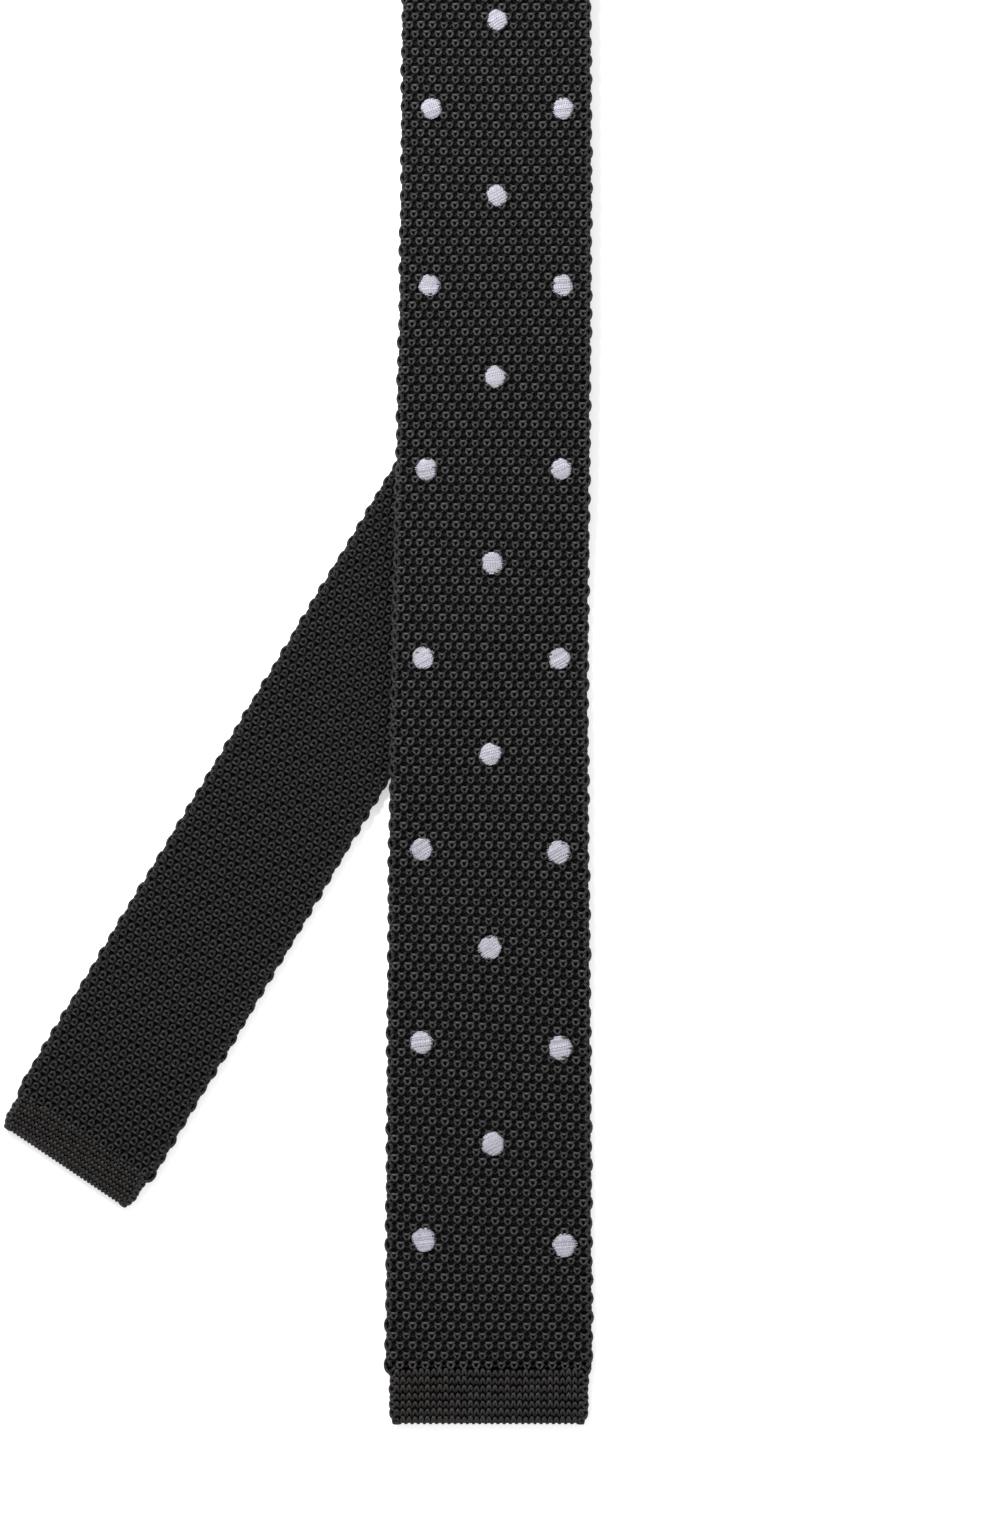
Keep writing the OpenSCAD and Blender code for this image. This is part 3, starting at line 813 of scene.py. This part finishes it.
def embroidered_dots():
    """Satin-stitched dots: parallel silk threads over a low dome, with uneven
    ends, and a few bobbin threads behind each."""
    threads, radius, crown, samples = 24, 0.20 * MM, 0.60 * MM, 15
    bobbins, bobbin_radius, bobbin_samples = 5, 0.15 * MM, 7
    tops, backs = [], []
    for i, (low, high) in enumerate(islands("embroidered_dots")):
        x0, y0 = dot_middle(*(low + high)[:2] / 2)
        size = (high - low)[0] / 2 * mix(1.05, 0.93, ease((y0 / MM - 90) / 260))
        lean = 0.30 + 0.25 * scatter(i, 1, 1)
        lane = np.linspace(-1, 1, threads)[:, None] * 0.95
        ragged = 1 + 0.05 * scatter(lane * 9, i, 2) + 0.05 * np.sin(5 * lane + i)
        reach = np.sqrt(1 - lane**2) * ragged
        u = np.linspace(-1, 1, samples)[None, :] * reach + 0.04 * scatter(lane * 7, i, 3)
        v = lane * (1 + 0.04 * scatter(i, 2, 2)) + 0.02 * np.sin(4 * u + i)
        x = x0 + size * (u * math.cos(lean) - v * math.sin(lean))
        y = y0 + size * (u * math.sin(lean) + v * math.cos(lean)) * 1.04
        dome = np.sqrt(np.clip(1.04 - u**2 - v**2, 0, 1))
        h = MEAN_H + 0.28 * MM + crown * dome + 0.05 * MM * scatter(lane * 11, i, 4)
        end = np.abs(np.linspace(-1, 1, samples))[None, :] > 0.99
        h = np.where(end, MEAN_H - 0.2 * MM, h)
        centres = place(x, y, h)
        normals = place(x, y, h + 0.2 * MM) - centres
        radii = np.full(x.shape, radius)
        tone = 0.5 + 0.49 * scatter(lane * 5, i, 5) * np.ones_like(u)
        tops.append(tubes(centres, normals, radii, 6, np.stack([np.full_like(tone, 0.9), tone], -1)))

        lane = np.linspace(-0.7, 0.7, bobbins)[:, None]
        x = x0 + size * np.linspace(-0.8, 0.8, bobbin_samples)[None, :] * np.ones_like(lane)
        along = np.linspace(-1, 1, bobbin_samples)[None, :]
        y = y0 + size * (lane + 0.1 * along * scatter(lane * 8, i, 6))
        centres = place(x, y, np.full_like(x, 0.05 * MM))
        normals = place(x, y, np.full_like(x, 0.3 * MM)) - centres
        backs.append(tubes(centres, normals, np.full(x.shape, bobbin_radius), 5))
    for name, parts, finish, slot, node in (
        ("satin_dots", tops, SILK, "dot_silk", "embroidered_dots"),
        ("bobbin_threads", backs, THREAD, "sewing_thread", "dot_backing_threads"),
    ):
        points, quads, uvs = joined(parts)
        piece = make_mesh(name, points, quads, finish, uvs)
        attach(piece, "front")
        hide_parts(node)


def sheet_of(name, node, height, thick, relief, finish):
    """A thin woven piece on the back of the front blade, in its node's outline.
    relief(a, b) is its own shape, out of the cloth, over 0 to 1 both ways."""
    low, high = corners(node)
    across, along = 110, 60
    a, b = np.meshgrid(np.linspace(0, 1, across), np.linspace(0, 1, along), indexing="ij")
    x, y = mix(low[0], high[0], a), mix(low[1], high[1], b)
    outer = relief(a, b)
    border = np.minimum(np.minimum(a, 1 - a) * (high - low)[0], np.minimum(b, 1 - b) * (high - low)[1])
    round_off = thick / 2 * np.sqrt(np.clip(1 - (1 - np.clip(border / (thick / 2), 0, 1)) ** 2, 0, 1))
    out = place(x, y, -(height + outer + round_off)).reshape(-1, 3)
    inside = place(x, y, -(height + outer - round_off)).reshape(-1, 3)
    i, j = np.meshgrid(np.arange(across - 1), np.arange(along - 1), indexing="ij")
    at = i * along + j
    count = across * along
    face = np.stack([at, at + along, at + along + 1, at + 1], -1).reshape(-1, 4)
    rim = np.concatenate([np.arange(along), np.arange(1, across) * along + along - 1,
                          (across - 1) * along + np.arange(along - 2, -1, -1),
                          np.arange(across - 2, 0, -1) * along])
    after = np.roll(rim, -1)
    edge = np.stack([rim, after, after + count, rim + count], -1)
    quads = np.concatenate([face, face[:, ::-1] + count, edge[:, ::-1]])
    points = np.concatenate([out, inside])
    u, v = np.concatenate([a.ravel(), a.ravel()]), np.concatenate([b.ravel() * 0.5, 0.5 + b.ravel() * 0.5])
    uv = np.stack([u[quads], v[quads]], -1)
    piece = make_mesh(name, points, quads, finish, {"OFBake": uv})
    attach(piece, "front")
    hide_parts(node)
    return piece


def stitches(name, node, height, zigzags):
    """Sewing thread over each of a node's solids: one stitch each, or a zigzag."""
    parts = []
    for i, (low, high) in enumerate(islands(node)):
        count = zigzags * 8 + 9
        t = np.linspace(0, 1, count)
        if zigzags:
            x = mix(low[0], high[0], (1 - np.cos(t * math.pi * zigzags)) / 2)
            y = mix(low[1], high[1], t)
            lift = 0.16 * MM * np.abs(np.sin(t * math.pi * zigzags))
        else:
            x = mix(low[0], high[0], t)
            y = (low[1] + high[1]) / 2 + 0.1 * MM * scatter(i, 1, 1) * np.ones_like(t)
            lift = 0.22 * MM * np.sin(t * math.pi) - 0.1 * MM
        h = -(height + lift)
        centres = place(x, y, h)[None]
        normals = place(x, y, h - 0.2 * MM)[None] - centres
        radii = np.full((1, count), 0.2 * MM)
        radii[:, [0, -1]] *= 0.2
        parts.append(tubes(centres, normals, radii, 6))
    points, quads, uvs = joined(parts)
    piece = make_mesh(name, points, quads, THREAD, uvs)
    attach(piece, "front")
    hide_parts(node)


KNIT_BACK = MEAN_H + 0.85 * MM          # how far the cloth's back stands from its middle


def ribbon_relief(a, b):
    ribs = 0.07 * MM * np.sin(a * TAU * 44)
    bow = 0.35 * MM * np.sin(math.pi * a) ** 2
    woven_edge = 0.12 * MM * (ease(1 - b / 0.06) + ease(1 - (1 - b) / 0.06))
    return ribs + bow + woven_edge


def label_relief(a, b):
    turned_in = 0.22 * MM * (ease(1 - (a - 0.09) / 0.03) + ease(1 - (0.91 - a) / 0.03))
    turned_top = 0.22 * MM * ease(1 - (0.90 - b) / 0.03)
    waves = 0.12 * MM * np.sin(a * 5 + 1) * np.sin(b * 4)
    return np.maximum(turned_in, turned_top) + waves


embroidered_dots()
sheet_of("keeper_ribbon", "keeper_loop", KNIT_BACK + 0.2 * MM, 0.4 * MM, ribbon_relief, RIBBON)
sheet_of("blank_label", "care_label", KNIT_BACK + 0.15 * MM, 0.25 * MM, label_relief, LABEL)
stitches("keeper_tacks", "keeper_bar_tacks", KNIT_BACK + 0.42 * MM, 26)
stitches("label_stitches", "care_label_stitches", KNIT_BACK + 0.52 * MM, 0)


# ------------------------------------------------------------ floor and light
FLOOR_GAP = 0.2 * MM                    # the lowest stitches stand just clear of the floor
VIEW_HEIGHT = 451.1 * MM                # what the photo shows from top to bottom
VIEW_Y = 195.7 * MM                     # and the point in its middle


def studio():
    mesh = bpy.data.meshes.new("floor")
    size = 4.0                              # half the floor's side
    mesh.from_pydata([(-size, -size, 0), (size, -size, 0), (size, size, 0), (-size, size, 0)],
                     [], [(0, 1, 2, 3)])
    floor = bpy.data.objects.new("floor", mesh)
    floor.location.z = -FLOOR_GAP
    mat, _, shader = material("floor_paper", (0.93, 0.93, 0.93), 0.8)
    shader.inputs["Emission Color"].default_value = (1, 1, 1, 1)
    shader.inputs["Emission Strength"].default_value = 0.45
    mesh.materials.append(mat)
    bpy.context.scene.collection.objects.link(floor)

    world = bpy.data.worlds.new("studio")
    bpy.context.scene.world = world
    world.use_nodes = True
    world.node_tree.nodes["Background"].inputs["Color"].default_value = (1, 1, 1, 1)
    world.node_tree.nodes["Background"].inputs["Strength"].default_value = 0.56

    bpy.context.scene.view_settings.view_transform = "Standard"

    def lamp(name, at, aim, size, power):
        data = bpy.data.lights.new(name, "AREA")
        data.shape = "DISK"
        data.size = size
        data.energy = power
        item = bpy.data.objects.new(name, data)
        item.location = at
        way = np.array(aim, float) - np.array(at, float)
        item.rotation_euler = (
            math.atan2(math.hypot(way[0], way[1]), -way[2]), 0, math.atan2(-way[0], way[1])
        )
        bpy.context.scene.collection.objects.link(item)

    lamp("key", (-0.55, 1.1, 0.85), (0, 0.3, 0), 0.45, 24)
    lamp("fill", (1.4, -0.3, 1.6), (0, 0.25, 0), 1.2, 8)


def camera():
    data = bpy.data.cameras.new("camera")
    data.lens = 180
    data.sensor_width = 36
    item = bpy.data.objects.new("camera", data)
    item.location = (0, VIEW_Y, TUBE_T + data.lens / data.sensor_width * VIEW_HEIGHT)
    bpy.context.scene.collection.objects.link(item)
    bpy.context.scene.camera = item


studio()
camera()
